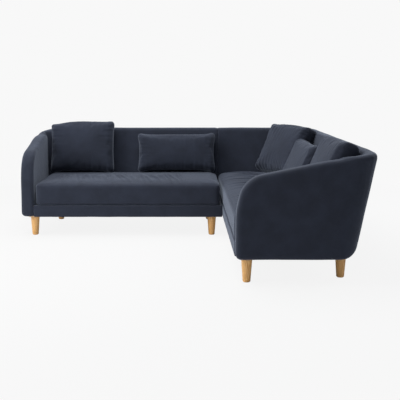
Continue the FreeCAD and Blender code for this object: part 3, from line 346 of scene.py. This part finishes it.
def smooth_shade(obj):
    obj.data.polygons.foreach_set("use_smooth", [True] * len(obj.data.polygons))
    obj.data.update()


def subdivide(obj):
    mod = obj.modifiers.new("Subdivision", "SUBSURF")
    mod.levels = 1
    mod.render_levels = 1
    apply_modifiers(obj)


def get_points(obj):
    points = np.empty(len(obj.data.vertices) * 3)
    obj.data.vertices.foreach_get("co", points)
    return points.reshape(-1, 3)


def set_points(obj, points):
    obj.data.vertices.foreach_set("co", points.reshape(-1))
    obj.data.update()


def get_normals(obj):
    normals = np.empty(len(obj.data.vertices) * 3)
    obj.data.vertex_normals.foreach_get("vector", normals)
    return normals.reshape(-1, 3)


def undulate(obj, height, size, seed):
    """Moves the surface in and out by soft noise: padding is never quite even."""
    points = get_points(obj)
    normals = get_normals(obj)
    shift = Vector((seed * 3.1, seed * 1.7, seed * 0.9))
    amount = np.array([noise.noise(Vector(p) / size + shift) for p in points])
    set_points(obj, points + normals * (amount * height)[:, None])


# The velvet cover in the cloth simulation; 0.3 kg is the mass of each of its points
CLOTH = {
    "quality": 6, "mass": 0.3, "tension_stiffness": 15.0, "compression_stiffness": 15.0,
    "shear_stiffness": 5.0, "bending_stiffness": 0.5, "use_pressure": True,
}


def fill(obj, start, pressure, growth, swell):
    """Fills a cover by pressure in the cloth simulation and keeps the last frame.

    No point ends up further than swell from its place in start.
    """
    mod = obj.modifiers.new("Cloth", "CLOTH")
    for name, value in CLOTH.items():
        setattr(mod.settings, name, value)
    mod.settings.uniform_pressure_force = pressure
    mod.settings.shrink_min = -growth
    mod.settings.effector_weights.gravity = 0
    scene = bpy.context.scene
    frames = settings().sim_frames
    mod.point_cache.frame_start = 1
    mod.point_cache.frame_end = frames
    for number in range(1, frames + 1):
        scene.frame_set(number)
    apply_modifiers(obj)
    scene.frame_set(1)
    moved = get_points(obj) - start
    length = np.linalg.norm(moved, axis=1)
    scale = np.minimum(1, swell / np.maximum(length, 1e-9))
    set_points(obj, start + moved * scale[:, None])


def finish_piece(obj, body, nodes, name="navy_cut_velvet"):
    """Shades, paints and hands a soft piece to its body, in place of its CAD nodes."""
    paint(obj, name)
    smooth_shade(obj)
    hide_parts(*nodes)
    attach(obj, body)


def body_of_node(node):
    for body, members in frame["record"]["behaviour"]["bodies"].items():
        if node in members:
            return body
    raise RuntimeError("no body holds " + node)


# Covers of arms, backs and borders: mesh sizes, and height and size of their unevenness
COVER_WAVE = (0.0016, 0.16)
BORDER_VOXEL = 0.005
BORDER_WAVE = (0.0008, 0.12)
DECK_VOXEL = 0.004
DECK_WAVE = (0.0006, 0.1)


class SOFA_OT_covers(bpy.types.Operator):
    """Pads and covers the arms and backs, one cover for each module"""

    bl_idname = "sofa.covers"
    bl_label = "Arm and back covers"

    def execute(self, context):
        voxel = settings().cover_voxel
        for name, (body, nodes) in SHELLS.items():
            side = name.split("_")[0]
            inside = ["%s_%s" % (side, part) for part in FILLINGS]
            obj = merged_copy(name, list(nodes) + [n for n in inside if n in frame["nodes"]])
            remesh(obj, voxel)
            drop_strays(obj, nodes, 3 * voxel)
            relax(obj, 3)
            undulate(obj, *COVER_WAVE, len(nodes) + len(side))
            round_shoulder(obj, body)
            close_joint(obj, body)
            finish_piece(obj, body, nodes)
        return {"FINISHED"}


def drop_strays(obj, nodes, limit):
    """Deletes what the filled-in frame adds further than a limit from the cover's nodes."""
    cad = merged_copy("cover_check", nodes)
    tree = BVHTree.FromObject(cad, bpy.context.evaluated_depsgraph_get())
    bm = bmesh.new()
    bm.from_mesh(obj.data)
    stray = [v for v in bm.verts if tree.find_nearest(v.co)[3] > limit]
    bmesh.ops.delete(bm, geom=stray, context="VERTS")
    bm.to_mesh(obj.data)
    bm.free()
    bpy.data.objects.remove(cad)


# Places on each module's arm, with their shares of the shoulder setting: where the crest
# runs up and is fuller, and where it turns into the back and falls away
SHOULDERS = {
    "left_module": (((-1.225, 0.72, 0.80), 0.3), ((-1.235, 0.97, 0.82), 1.0)),
    "right_module": (((0.88, -1.065, 0.80), 0.0), ((1.13, -1.075, 0.82), 0.5)),
}
RUN_SPREAD = (0.15, 0.15, 0.12)
TURN_SPREAD = (0.13, 0.13, 0.12)


def nearness(points, place, spread):
    """1 at a place, fading to 0 over a spread along each axis."""
    return np.exp(-np.linalg.norm((points - place) / np.array(spread), axis=1) ** 2)


def round_shoulder(obj, body):
    """Fills out the padding along the arm's crest and lets it fall away at the back."""
    points = get_points(obj)
    normals = get_normals(obj)
    (run, more), (turn, less) = SHOULDERS[body]
    fuller = more * nearness(points, run, RUN_SPREAD)
    fallen = less * nearness(points, turn, TURN_SPREAD)
    upward = np.clip(normals[:, 2] + 0.3, 0, 1)
    move = (fuller - fallen) * settings().shoulder * upward
    set_points(obj, points + normals * move[:, None])


# How far from a module's end its cover is drawn flat, how far the left cover reaches past its
# node to close the gap between the modules, and how deep the joint is from the back's rear
JOINT_BAND = 0.012
JOINT_REACH = 0.0014
JOINT_DEPTH = 0.30


def close_joint(obj, body):
    """Draws the cover flat over the module's end, where the other module stands against it."""
    low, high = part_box(body.replace("module", "back_upholstery"))
    points = get_points(obj)
    if body == "left_module":
        end = points[:, 0] > high.x - JOINT_BAND
        points[end, 0] = high.x + JOINT_REACH
    else:
        end = (points[:, 0] < low.x + JOINT_BAND) & (points[:, 1] > high.y - JOINT_DEPTH)
        points[end, 0] = low.x
    set_points(obj, points)


class SOFA_OT_borders(bpy.types.Operator):
    """Covers the front borders below the seat cushions and the decks under them"""

    bl_idname = "sofa.borders"
    bl_label = "Front borders and decks"

    def execute(self, context):
        for side in ("left", "right"):
            node = side + "_front_border"
            obj = merged_copy(side + "_border_cover", [node])
            remesh(obj, BORDER_VOXEL)
            relax(obj, 2)
            undulate(obj, *BORDER_WAVE, 3)
            finish_piece(obj, side + "_module", [node])
            node = side + "_deck_pad"
            obj = merged_copy(side + "_deck_cover", [node])
            remesh(obj, DECK_VOXEL)
            undulate(obj, *DECK_WAVE, 5)
            finish_piece(obj, side + "_module", [node], "deck_felt")
        return {"FINISHED"}


# Seat cushions: pressure and growth of the filling
SEAT_PRESSURE = 2.5
SEAT_GROWTH = 0.012

# Seed of a seat's creases, the middle of the creased stretch (along the seat, and behind its
# front) and the length of that stretch
SEATS = (
    ("left_seat_cushion", LEFT_FACING, 4, (-0.50, 0.30), 1.05),
    ("right_seat_cushion", RIGHT_FACING, 9, (0.05, 0.30), 1.5),
)

# Least and most of each crease's place, slant, length, thickness and strength. Shift and
# thickness are shares of the spacing.
CREASE_SPACING = 0.042
CREASE_SHIFT = (-0.3, 0.3)
CREASE_SET_BACK = (-0.05, 0.05)
CREASE_SLANT = (-0.35, -0.05)
CREASE_LENGTH = (0.09, 0.2)
CREASE_THICKNESS = (0.2, 0.34)
CREASE_STRENGTH = (0.5, 1.0)

# The crease field's mean height, and the depth below the crown over which creases fade out
CREASE_MEAN = 0.35
CREASE_FADE = 0.03

# Room kept under the cushions that stand on a seat, how far in front of them the creases may
# rise above that, the reach at which this ends and the length over which it does
STANDING_ROOM = 0.0005
FRONT_RISE = 0.022
FRONT_REACH = 0.50
FRONT_FADE = 0.10


def crease_field(along, reach, seed, centre, width):
    """Short soft creases that run from front to rear, with uneven spacing and length."""
    value = np.zeros(len(along))
    rng = np.random.default_rng(seed)
    spacing = CREASE_SPACING
    count = int(width / spacing)
    for k in range(count):
        middle = (centre[0] + (k - count / 2 + 0.5) * spacing
                  + rng.uniform(*CREASE_SHIFT) * spacing)
        deep = centre[1] + rng.uniform(*CREASE_SET_BACK)
        slant = rng.uniform(*CREASE_SLANT)
        length = rng.uniform(*CREASE_LENGTH)
        thick = rng.uniform(*CREASE_THICKNESS) * spacing
        across = along - middle - slant * (reach - deep)
        value += (rng.uniform(*CREASE_STRENGTH) * np.exp(-(across / thick) ** 2)
                  * np.exp(-((reach - deep) / length) ** 2))
    return value


class SOFA_OT_seats(bpy.types.Operator):
    """Fills the two bench cushions and creases their tops"""

    bl_idname = "sofa.seats"
    bl_label = "Seat cushions"

    def execute(self, context):
        for node, facing, seed, centre, width in SEATS:
            low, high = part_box(node)
            obj = merged_copy(node + "_cover", [node])
            remesh(obj, settings().cushion_voxel)
            fill(obj, get_points(obj), SEAT_PRESSURE, SEAT_GROWTH, settings().seat_swell)
            subdivide(obj)
            points = get_points(obj)
            if facing is LEFT_FACING:
                along, reach = points[:, 0], points[:, 1] - low.y
            else:
                along, reach = points[:, 1], points[:, 0] - low.x
            creases = crease_field(along, reach, seed, centre, width)
            top = np.clip((points[:, 2] - (high.z - CREASE_FADE)) / CREASE_FADE, 0, 1)
            points[:, 2] += settings().crease * (creases - CREASE_MEAN) * top
            # Flat on the deck, and no higher than the foot of the cushions that stand on it
            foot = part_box("left_square_cushion")[0].z - STANDING_ROOM
            front_part = np.clip((FRONT_REACH - reach) / FRONT_FADE, 0, 1)
            points[:, 2] = np.clip(points[:, 2], low.z, foot + FRONT_RISE * front_part)
            set_points(obj, points)
            finish_piece(obj, body_of_node(node), [node])
        return {"FINISHED"}


# Scatter cushions: facing, seed, arch of the top, sag of one corner, gathers, and as degrees
# how much it has turned into the room and how much further back it lies
SCATTER = (
    ("left_square_cushion", LEFT_FACING, 11, 0.020, 0.034, 0.5, 0, 0),
    ("left_lumbar_cushion", LEFT_FACING, 12, 0.006, 0.006, 0.6, 0, 0),
    ("right_square_cushion", RIGHT_FACING, 13, 0.020, 0.010, 1.1, 0, 11),
    ("right_lumbar_cushion", RIGHT_FACING, 14, 0.010, 0.006, 1.0, 0, 11),
    ("corner_square_cushion", RIGHT_FACING, 15, 0.020, 0.010, 1.1, 50, 12),
)

# How far the corner cushion, the only one that has turned, has slid into the corner
CORNER_SLIDE = np.array((0.055, 0.045, 0))

SCATTER_WAVE = (0.002, 0.07)
SCATTER_PRESSURE = 4.0
SCATTER_GROWTH = 0.03

# How much a foot swells, how deep it is pressed into the seat and the room kept below it
FOOT_SWELL = 0.012
FOOT_PRESS = 0.006
FOOT_ROOM = 0.0005

# The sagging corner's spread as a share of the half width, the share of its sag by which it
# leans out, and the distances from the middle plane over which swelling and gathers fade in
SAG_SPREAD = 0.45
SAG_LEAN = 0.5
SWELL_FADE = 0.03
GATHER_FADE = 0.02

# Gathers: spacing and share of each wave along the seam, a wave's turn, how far a gather runs
# in as a multiple of its spacing, the band beside the seam over which gathers start, how much
# their spacing drifts and over which length, and the mean, swing and length of their strength
GATHER_WAVES = ((0.045, 1.0), (0.028, 0.6), (0.017, 0.3))
WAVE_TURN = 6.28
GATHER_RUN = 1.7
SEAM_BAND = 0.006
DRIFT = 1.5
DRIFT_LENGTH = 0.11
STRENGTH_MEAN = 0.55
STRENGTH_SWING = 0.45
STRENGTH_LENGTH = 0.17

# Folds that run in from a corner: how many, turn either way from the diagonal, strength, width
# at the corner and widening, rise at the corner and the distance at which a fold is highest
CORNER_FOLDS = 3
FOLD_TURN = (-0.55, 0.55)
FOLD_STRENGTH = (0.4, 1.0)
FOLD_WIDTH = 0.008
FOLD_WIDENING = 0.10
FOLD_RISE = 32
FOLD_REACH = 0.06


def cushion_axes(points, facing):
    """A cushion's middle and its side, up and front directions, from its own spread."""
    centre = points.mean(0)
    directions = np.linalg.eigh(np.cov((points - centre).T))[1].T
    front, up = directions[0], directions[1]
    front = front * np.sign(front @ np.array(facing))
    up = up * np.sign(up[2])
    return centre, np.array((np.cross(up, front), up, front))


def seam_gathers(side, up, half, rng):
    """Height of the gathers beside the seam."""
    inset_side, inset_up = half[0] - np.abs(side), half[1] - np.abs(up)
    inset = np.minimum(inset_side, inset_up)
    along = np.where(inset_side < inset_up, up, side)
    shift = np.zeros(len(side))
    for spacing, share in GATHER_WAVES:
        phase, drift = rng.uniform(0, WAVE_TURN, 2)
        bend = DRIFT * np.sin(along / DRIFT_LENGTH + drift)
        wave = np.sin(along / spacing * WAVE_TURN + phase + bend)
        fade = np.exp(-inset / (GATHER_RUN * spacing)) * np.clip(inset / SEAM_BAND, 0, 1)
        strength = (STRENGTH_MEAN
                    + STRENGTH_SWING * np.sin(along / STRENGTH_LENGTH + drift * 2))
        shift += share * wave * fade * strength
    return shift


def corner_folds(side, up, half, rng):
    """Height of the folds that fan out from the four corners."""
    shift = np.zeros(len(side))
    for corner in ((-half[0], -half[1]), (-half[0], half[1]),
                   (half[0], -half[1]), (half[0], half[1])):
        reach = np.stack((side, up), 1) - corner
        away = np.linalg.norm(reach, axis=1)
        for turn in rng.uniform(*FOLD_TURN, CORNER_FOLDS):
            angle = math.atan2(-corner[1], -corner[0]) + turn
            line = np.array((math.cos(angle), math.sin(angle)))
            off = reach @ np.array((-line[1], line[0]))
            ahead = reach @ line
            ridge = np.exp(-(off / (FOLD_WIDTH + FOLD_WIDENING * away)) ** 2) * (ahead > 0)
            height = FOLD_RISE * away * np.exp(-away / FOLD_REACH)
            shift += rng.uniform(*FOLD_STRENGTH) * ridge * height
    return shift


def gather(local, half, depth, seed):
    """Gathers beside the seam and folds at the corners of a filled cushion.

    local holds side, up and front places from the cushion's middle; half holds its half
    width and half height.
    """
    rng = np.random.default_rng(seed)
    side, up, front = local.T
    shift = seam_gathers(side, up, half, rng) + corner_folds(side, up, half, rng)
    moved = local.copy()
    moved[:, 2] += depth * shift * np.clip(front / GATHER_FADE, -1, 1)
    return moved


def slump(local, half, rise, drop):
    """A cushion's top arches up between its corners, one corner sags and the foot swells."""
    side, up, front = local.T
    moved = local.copy()
    high = np.clip((up + half[1]) / (2 * half[1]), 0, 1)
    moved[:, 1] += rise * high ** 3 * np.cos(side / half[0] * math.pi / 2) ** 2
    corner = np.exp(-((side / half[0] + 1) / SAG_SPREAD) ** 2) * high ** 4
    moved[:, 1] -= drop * corner
    moved[:, 2] += SAG_LEAN * drop * corner
    swell = np.clip(front / SWELL_FADE, 0, 1) * np.sin(high * math.pi) * (1 - high)
    moved[:, 2] += FOOT_SWELL * swell
    return moved


def recline(points, front, extra, crest):
    """Lays a cushion further back: it turns about the crest of the back that it leans on."""
    level = np.array((front[0], front[1], 0)) / math.hypot(front[0], front[1])
    depth = (points - crest) @ level
    height = points[:, 2] - crest[2]
    forward = depth * math.cos(extra) - height * math.sin(extra)
    turned = points + (forward - depth)[:, None] * level
    turned[:, 2] = crest[2] + depth * math.sin(extra) + height * math.cos(extra)
    return turned


def turn_about(points, centre, angle):
    """Turns points about the upright line through a cushion's middle."""
    turn = np.array(Matrix.Rotation(angle, 3, "Z"))
    return (points - centre) @ turn.T + centre


def place_cushion(points, centre, axes, back, turn, extra):
    """Turns a cushion into the room and lays it further back; both angles are in degrees.

    back is how far its rear is from its middle, as a negative number.
    """
    points = turn_about(points, centre, math.radians(turn))
    front = turn_about(axes[2], np.zeros(3), math.radians(turn))
    if extra:
        crest = centre + back / math.hypot(front[0], front[1]) * front
        crest[2] = settings().back_height
        points = recline(points, front, math.radians(extra), crest)
        points += CORNER_SLIDE * (turn > 0)
    return points


class SOFA_OT_scatter(bpy.types.Operator):
    """Fills the five scatter cushions and gathers their seams"""

    bl_idname = "sofa.scatter"
    bl_label = "Scatter cushions"

    def execute(self, context):
        for node, facing, seed, rise, drop, gathers, turn, extra in SCATTER:
            obj = merged_copy(node + "_cover", [node])
            remesh(obj, settings().scatter_voxel)
            relax(obj, 10)
            start = get_points(obj)
            centre, axes = cushion_axes(start, facing)
            undulate(obj, *SCATTER_WAVE, seed)
            fill(obj, start, SCATTER_PRESSURE, SCATTER_GROWTH, settings().scatter_swell)
            subdivide(obj)
            limits = (start - centre) @ axes.T
            half = (limits.max(0) - limits.min(0)) / 2
            local = (get_points(obj) - centre) @ axes.T
            local = slump(local, half, rise, drop)
            local = gather(local, half, settings().pucker * gathers, seed)
            # The back stays off the wall that it leans on, the foot off the seat
            local[:, 2] = np.maximum(local[:, 2], limits[:, 2].min())
            local[:, 1] = np.maximum(local[:, 1], limits[:, 1].min())
            points = place_cushion(local @ axes + centre, centre, axes, limits[:, 2].min(),
                                   turn, extra)
            # It stands on the seat, and its foot is pressed a little flat
            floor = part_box(node)[0].z
            points[:, 2] += floor - FOOT_PRESS - points[:, 2].min()
            points[:, 2] = np.maximum(points[:, 2], floor + FOOT_ROOM)
            set_points(obj, points)
            finish_piece(obj, body_of_node(node), [node])
        return {"FINISHED"}


# Finishes of the pieces that keep their CAD shape: the first part of a name that fits counts
FINISHES = (
    ("_legs", "oiled_oak"), ("panel", "birch_plywood"), ("soles", "birch_plywood"),
    ("rail", "planed_beech"), ("posts", "planed_beech"), ("blocks", "planed_beech"),
    ("webbing", "elastic_webbing"), ("dust_cover", "black_lining"),
    ("connector", "zinc_plated_steel"),
)


class SOFA_OT_frame(bpy.types.Operator):
    """Finishes the timber, steel, webbing and lining that keep their own shape"""

    bl_idname = "sofa.frame"
    bl_label = "Timber, steel and webbing"

    def execute(self, context):
        for node, obj in frame["nodes"].items():
            if node.endswith(("_upholstery", "_cushion", "_front_border", "_deck_pad")):
                continue
            paint(obj, next(finish for part, finish in FINISHES if part in node))
        return {"FINISHED"}


# Stage: each light's place, aim, size and power, and the camera that the photo was fitted to
FLOOR_SIZE = 40
BACKDROP = "#f8f8f8"
LIGHTS = {
    "overhead": ((-0.8, 0.2, 3.4), (0, 0.1, 0.4), (3.2, 2.4), 105),
    "from_left": ((-3.6, -1.6, 2.2), (0.4, 0, 0.5), (2.0, 2.0), 85),
    "from_behind_right": ((3.4, 1.4, 1.8), (0.9, 0, 0.6), (1.4, 1.8), 40),
}
CAMERA_PLACE = (0.0415, -5.159, 1.2824)
CAMERA_LENS = 60.05
CAMERA_SENSOR = 36
CAMERA_SHIFT = (0.0465, -0.12)


def pale_floor():
    """Plain studio floor: white to the camera, but it keeps a soft shadow."""
    mat, tree, shader, coords = start_material("studio_floor", {
        "Base Color": linear("#f4f4f4"), "Roughness": 0.9})
    output = [n for n in tree.nodes if n.type == "OUTPUT_MATERIAL"][0]
    glow = add(tree, "Emission", {"Color": linear(BACKDROP), "Strength": 1.0})
    seen = add(tree, "LightPath").outputs["Is Camera Ray"]
    # The shadow fades out 1.9 to 4 m from the middle, so that the floor meets the backdrop
    away = add(tree, "VectorMath", {0: coords}, operation="LENGTH").outputs["Value"]
    clear = add(tree, "MapRange", {"Value": away, "From Min": 1.9, "From Max": 4.0,
                                   "To Min": 0.93, "To Max": 1.0})
    share = add(tree, "Math", {0: seen, 1: clear.outputs["Result"]}, operation="MULTIPLY")
    mix = add(tree, "MixShader", {0: share.outputs[0], 1: shader.outputs[0],
                                  2: glow.outputs[0]})
    tree.links.new(mix.outputs[0], output.inputs["Surface"])
    return mat


def area_light(name, place, aim, size, power):
    data = bpy.data.lights.new(name, "AREA")
    data.shape = "RECTANGLE"
    data.size, data.size_y = size
    data.energy = power
    obj = bpy.data.objects.new(name, data)
    obj.location = place
    obj.rotation_euler = (Vector(aim) - Vector(place)).to_track_quat("-Z", "Y").to_euler()
    bpy.context.scene.collection.objects.link(obj)


class SOFA_OT_stage(bpy.types.Operator):
    """Floor, soft lights and the camera at the photograph's place"""

    bl_idname = "sofa.stage"
    bl_label = "Stage"

    def execute(self, context):
        bm = bmesh.new()
        bmesh.ops.create_grid(bm, x_segments=1, y_segments=1, size=FLOOR_SIZE)
        mesh = bpy.data.meshes.new("floor")
        bm.to_mesh(mesh)
        bm.free()
        mesh.materials.append(pale_floor())
        new_object("floor", mesh)

        world = bpy.data.worlds.new("studio")
        context.scene.world = world
        world.use_nodes = True
        tree = world.node_tree
        tree.nodes.clear()
        soft = add(tree, "Background", {"Color": linear("#f3f5fa"), "Strength": 0.38})
        white = add(tree, "Background", {"Color": linear(BACKDROP), "Strength": 1.0})
        path = add(tree, "LightPath")
        mix = add(tree, "MixShader", {0: path.outputs["Is Camera Ray"],
                                      1: soft.outputs[0], 2: white.outputs[0]})
        add(tree, "OutputWorld", {"Surface": mix.outputs[0]})

        for name, light in LIGHTS.items():
            area_light(name, *light)

        data = bpy.data.cameras.new("camera")
        data.sensor_width = CAMERA_SENSOR
        data.lens = CAMERA_LENS
        data.shift_x, data.shift_y = CAMERA_SHIFT
        camera = bpy.data.objects.new("camera", data)
        camera.location = CAMERA_PLACE
        camera.rotation_euler = (math.pi / 2 - settings().camera_pitch, 0, 0)
        context.scene.collection.objects.link(camera)
        context.scene.camera = camera
        context.scene.view_settings.view_transform = "Standard"
        return {"FINISHED"}


OPERATORS = (SOFA_OT_covers, SOFA_OT_borders, SOFA_OT_seats, SOFA_OT_scatter, SOFA_OT_frame,
             SOFA_OT_stage)


class SOFA_PT_panel(bpy.types.Panel):
    """Lists the sofa's operators"""

    bl_idname = "SOFA_PT_panel"
    bl_label = "Corner sofa"
    bl_space_type = "VIEW_3D"
    bl_region_type = "UI"
    bl_category = "Sofa"

    def draw(self, context):
        for operator in OPERATORS:
            self.layout.operator(operator.bl_idname)


CLASSES = (SofaSettings,) + OPERATORS + (SOFA_PT_panel,)


def register():
    for cls in CLASSES:
        bpy.utils.register_class(cls)
    bpy.types.Scene.sofa_settings = bpy.props.PointerProperty(type=SofaSettings)


def unregister():
    del bpy.types.Scene.sofa_settings
    for cls in reversed(CLASSES):
        bpy.utils.unregister_class(cls)


def main():
    register()
    for operator in OPERATORS:
        group, name = operator.bl_idname.split(".")
        getattr(getattr(bpy.ops, group), name)()


if __name__ == "__main__":
    main()
